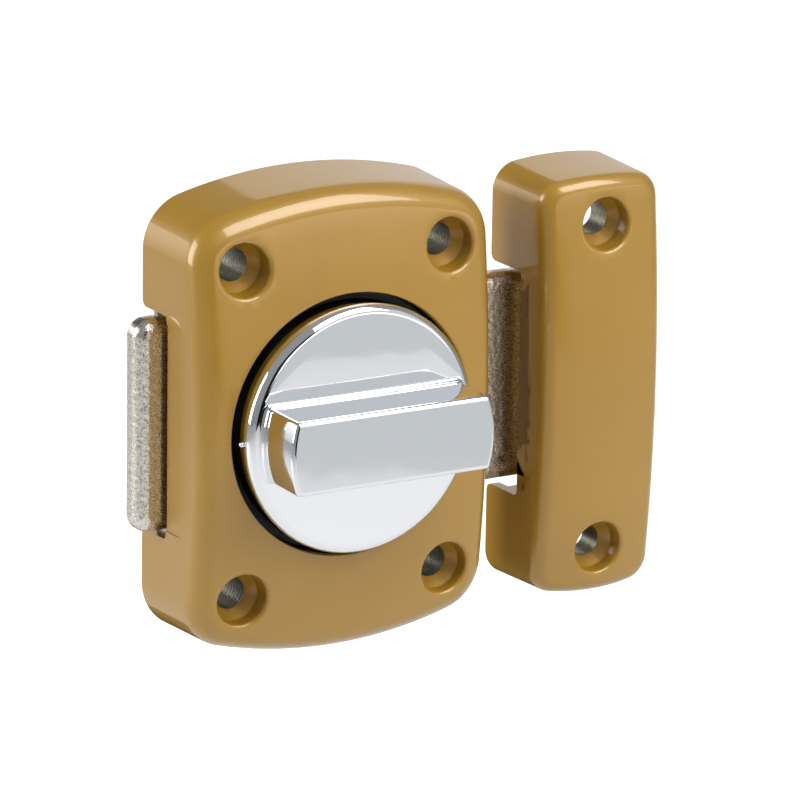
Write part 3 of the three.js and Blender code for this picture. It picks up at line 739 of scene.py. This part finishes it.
combine(turn_knob, [solid("tool", bar_mesh), solid("tool", nib)], "UNION")
combine(turn_knob, [solid("tool", block(-3.6, 3.6, 17.3, 24.9, -3.6, 3.6))], "DIFFERENCE")

# Bright chrome over nickel: a cool mirror, with a faint polisher's waviness.
bright_chrome, tree, shader = material("bright_chrome")
spot = add(tree, "ShaderNodeTexCoord").outputs["Object"]
sweep = add(tree, "ShaderNodeTexNoise", {"Vector": spot, "Scale": per_mm(12), "Detail": 1.0})
wave = add(tree, "ShaderNodeBump", {"Height": sweep.outputs["Fac"], "Strength": 0.03, "Distance": 0.0004})
tree.links.new(wave.outputs["Normal"], shader.inputs["Normal"])
haze = add(tree, "ShaderNodeTexNoise", {"Vector": spot, "Scale": per_mm(5), "Detail": 4.0})
rough = add(tree, "ShaderNodeMapRange", {0: haze.outputs["Fac"], 3: 0.02, 4: 0.05})
tree.links.new(rough.outputs[0], shader.inputs["Roughness"])
shader.inputs["Base Color"].default_value = colour("#eceef1")
shader.inputs["Metallic"].default_value = 1.0
turn_knob.data.materials.clear()
turn_knob.data.materials.append(bright_chrome)
finish_edges(turn_knob, 0)
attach(turn_knob, "knob")
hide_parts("turn_knob")


# ---- Spindle and pinion -------------------------------------------------------------------
# Turned steel with milled squares, zinc plated, and a cut and blued pinion on its end. A nylon
# pad takes the pinion's thrust on the back plate.
for name in ("spindle", "spacer_sleeve"):
    carried(name, zinc_plate)
carried("pinion", spring_steel)

# Natural nylon: milky white, slightly translucent, satin.
natural_nylon, tree, shader = material("natural_nylon")
spot = add(tree, "ShaderNodeTexCoord").outputs["Object"]
cloud = add(tree, "ShaderNodeTexNoise", {"Vector": spot, "Scale": per_mm(8), "Detail": 2.0})
tone = add(tree, "ShaderNodeValToRGB", {0: cloud.outputs["Fac"]})
tone.color_ramp.elements[0].color = colour("#dcd8cc")
tone.color_ramp.elements[1].color = colour("#eeebe2")
tree.links.new(tone.outputs["Color"], shader.inputs["Base Color"])
shader.inputs["Roughness"].default_value = 0.42
shader.inputs["Subsurface Weight"].default_value = 0.1
shader.inputs["Subsurface Scale"].default_value = 0.001
for name in ("pinion_pad", "rail_glide_upper", "rail_glide_lower"):
    carried(name, natural_nylon)


# ---- Bolt ---------------------------------------------------------------------------------
# A flat bar cast in steel, tumbled and nickel plated, so that its skin stays pebbled. It runs
# through the case; slots run on two pins, and the pinion works in its toothed window.
BOLT = {"tail": -39.0, "nose": 53.03, "back": 3.0, "front": 8.0}
BOLT |= {"edge": 0.85, "front_edge": 2.7, "corner": 3.5}


def cuts(start, stop, step):
    """Evenly spaced places from start to stop."""
    count = round((stop - start) / step)
    return [start + (stop - start) * i / count for i in range(count + 1)]


plate = block(
    BOLT["tail"], BOLT["nose"], BOLT["back"], BOLT["front"], -BOLT_HALF, BOLT_HALF, BOLT["corner"], "y"
)
for depth, rounding in ((BOLT["back"], BOLT["edge"]), (BOLT["front"], BOLT["front_edge"])):
    rims = [e for e in plate.edges if all(abs(v.co.y + depth * MM) < 1e-7 for v in e.verts)]
    bmesh.ops.bevel(
        plate, geom=rims, offset=rounding * MM, segments=6, profile=0.5, affect="EDGES", material=-1
    )
ends_and_middle = cuts(-38, -33.5, 0.3) + cuts(-30, 30, 6) + cuts(33.5, 45.5, 0.3)
places = [((x * MM, 0, 0), (1, 0, 0)) for x in ends_and_middle]
places += [((0, 0, z * MM), (0, 0, 1)) for z in cuts(-21.2, 21.2, 0.32)]
for middle, facing in places:
    bmesh.ops.bisect_plane(
        plate, geom=plate.verts[:] + plate.edges[:] + plate.faces[:], dist=1e-7,
        plane_co=middle, plane_no=facing,
    )
plate.normal_update()
shifts = []
for vert in plate.verts:
    far = vert.co.x / MM
    at_tail, at_nose = min(1, (-33 - far) / 1.5), min(1, (far - 33) / 1.5, 46.5 - far)
    shown = max(0, at_tail if far < 0 else at_nose)
    pebble = noise.noise(vert.co * per_mm(0.9)) + 0.5 * noise.noise(vert.co * per_mm(0.45))
    shifts.append((vert, vert.normal * min(0, pebble * 0.045 - 0.02) * shown * MM))
for vert, shift in shifts:
    vert.co += shift
bolt = solid("bolt_plated", plate)

PITCH = math.pi * 1.25
TOOTH_ROOT, TOOTH_TIP = 14.0625, 11.25
window = [(-14.75, -14.75), (34.385, -14.75), (34.385, TOOTH_ROOT)]
for k in range(6, -3, -1):
    centre = (k + 0.5) * PITCH
    at_root, at_tip = 0.902 + 0.569, 0.902 - 0.455
    window += [(centre + at_root, TOOTH_ROOT), (centre + at_tip, TOOTH_TIP)]
    window += [(centre - at_tip, TOOTH_TIP), (centre - at_root, TOOTH_ROOT)]
window.append((-14.75, TOOTH_ROOT))


def plug(points, d0, d1):
    """A straight-sided tool with a given outline, from one depth to another."""
    bm = bmesh.new()
    sheet = bm.faces.new([bm.verts.new((x * MM, -d0 * MM, z * MM)) for x, z in points])
    grown = bmesh.ops.extrude_face_region(bm, geom=[sheet])
    moved = [g for g in grown["geom"] if isinstance(g, bmesh.types.BMVert)]
    bmesh.ops.translate(bm, verts=moved, vec=(0, (d0 - d1) * MM, 0))
    bmesh.ops.recalc_face_normals(bm, faces=bm.faces)
    return bm


slots = [block(-13.75, 9.385, 2, 9, z - 1.75, z + 1.75, 1.74, "y") for z in (-17.78, 17.78)]
combine(bolt, [solid("tool", plug(window, 2, 9)), solid("tool", joined(*slots))], "DIFFERENCE")

# Nickel over a cast skin: a warm, satin silver broken up by pebbles about 0.4 mm across,
# drawn a little coarser than the finest of them, with darker tones between.
pebbled_nickel, tree, shader = material("pebbled_nickel")
spot = add(tree, "ShaderNodeTexCoord").outputs["Object"]
pebbles = add(
    tree, "ShaderNodeTexNoise", {"Vector": spot, "Scale": per_mm(0.4), "Detail": 2.0, "Roughness": 0.55}
)
relief = add(
    tree, "ShaderNodeBump", {"Height": pebbles.outputs["Fac"], "Strength": 0.22, "Distance": 0.00014}
)
tree.links.new(relief.outputs["Normal"], shader.inputs["Normal"])
tone = add(tree, "ShaderNodeValToRGB", {0: pebbles.outputs["Fac"]})
tone.color_ramp.elements[0].position, tone.color_ramp.elements[1].position = 0.36, 0.5
tone.color_ramp.elements[0].color = colour("#b0a698")
tone.color_ramp.elements[1].color = colour("#e2dcd2")
tree.links.new(tone.outputs["Color"], shader.inputs["Base Color"])
rough = add(tree, "ShaderNodeMapRange", {0: pebbles.outputs["Fac"], 1: 0.3, 2: 0.6, 3: 0.34, 4: 0.2})
tree.links.new(rough.outputs[0], shader.inputs["Roughness"])
shader.inputs["Metallic"].default_value = 1.0
bolt.data.materials.clear()
bolt.data.materials.append(pebbled_nickel)
finish_edges(bolt, 0)
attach(bolt, "bolt")
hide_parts("bolt")


# ---- Guide pins ---------------------------------------------------------------------------
# Two ground steel pins, pressed into posts of the casting and held by the back plate.
for name in ("guide_pin_upper", "guide_pin_lower"):
    carried(name, zinc_plate)


# ---- Strike casting -----------------------------------------------------------------------
# The keeper on the door frame: a second zinc casting, coated like the case, more strongly
# crowned across, with a mouth in its left wall for the bolt's nose and two screw holes.
STRIKE = {"ends": 68, "corner": 5.8, "edge": 2.6, "across": 52, "along": 335}
low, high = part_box("strike_body")
STRIKE_WIDTH, STRIKE_HEIGHT = ((high[i] - low[i]) / MM for i in (0, 2))
STRIKE_X, STRIKE_Z = ((high[i] + low[i]) / 2 for i in (0, 2))
STRIKE_DEPTH = 22.3
MOUTH_HALF = NOTCH_HALF - STRIKE_Z / MM
STRIKE_HOLES = [(0, -33.5), (0, 33.5)]
MOUTH_DEPTH = 11.0
keeper_face = crown(STRIKE, STRIKE_DEPTH)
strike_body = solid(
    "strike_casting", casting(STRIKE_WIDTH, STRIKE_HEIGHT, STRIKE_DEPTH, STRIKE, 0.4), [bronze_epoxy]
)
BOSS_RADIUS, BOSS_REAR = 6.9, 9
WEB_REACH, WEB_FRONT, WEB_INNER = 13.1, 18.4, 24.9
bosses = [pillar(BOSS_RADIUS, at, BOSS_REAR, keeper_face) for at in STRIKE_HOLES]
webs = [
    block(-WEB_REACH, WEB_REACH, 0, WEB_FRONT, *sorted((s * WEB_INNER, s * (WEB_INNER + RIB_THICKNESS))))
    for s in (-1, 1)
]
combine(strike_body, [solid("tool", joined(*bosses)), solid("tool", joined(*webs))], "UNION")
bores = [screw_bore(keeper_face, x, z) for x, z in STRIKE_HOLES]
seats = [screw_seat(keeper_face, x, z) for x, z in STRIKE_HOLES]
combine(
    strike_body,
    [solid("tool", bm, [bronze_epoxy]) for bm in (
        joined(*seats),
        side_panel(-1, STRIKE_WIDTH / 2, 15.4, 21.8),
        notch(-STRIKE_WIDTH, -STRIKE_WIDTH / 2 + 3.7, MOUTH_DEPTH, MOUTH_HALF),
    )]
    + [solid("tool", joined(*bores), [bare_zinc])],
    "DIFFERENCE",
)
finish_edges(strike_body, 0)
strike_body.data.transform(Matrix.Translation((STRIKE_X, 0, STRIKE_Z)))
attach(strike_body, "case_side")
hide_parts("strike_body")
